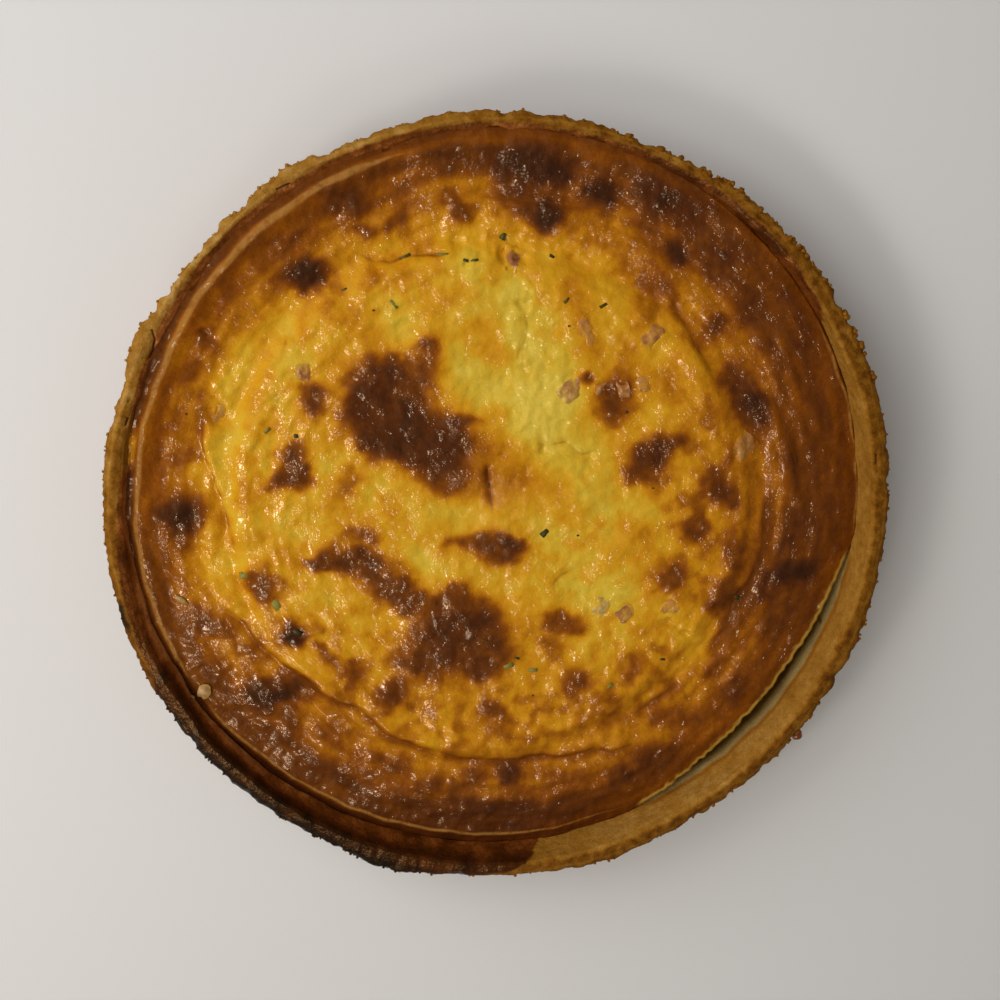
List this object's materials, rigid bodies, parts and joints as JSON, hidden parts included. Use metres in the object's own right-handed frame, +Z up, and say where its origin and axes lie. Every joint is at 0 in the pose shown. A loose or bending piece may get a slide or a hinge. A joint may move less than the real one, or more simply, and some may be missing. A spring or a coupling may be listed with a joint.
{
  "type": "quiche",
  "caption": "Whole round quiche: shortcrust shell with a ragged trimmed lip, filled with browned egg custard that has drawn away from one side, with ham dice sunk in its top.",
  "frame": {"origin": "middle of the flat underside, on the surface that the quiche rests on", "axes": "+Z up out of the filling; +X towards the bare pale side of the wall, +Y towards the side where the filling stands highest at the wall"},
  "size_m": [0.2808, 0.2805, 0.0406],
  "materials": {
    "shortcrust": "dry baked shortcrust pastry, pale inside, browned and crumbly at the trimmed edge",
    "custard": "moist set egg custard, yellow in the middle, amber to dark brown round the rim and in scorches",
    "ham": "cooked diced ham, dull pink, slightly moist"
  },
  "bodies": {
    "root": {"crust": "shortcrust", "filling": "custard", "ham_01": "ham", "ham_02": "ham", "ham_03": "ham", "ham_04": "ham", "ham_05": "ham", "ham_06": "ham", "ham_07": "ham", "ham_08": "ham", "ham_09": "ham", "ham_10": "ham", "ham_11": "ham", "ham_12": "ham", "ham_13": "ham"}
  },
  "joints": []
}
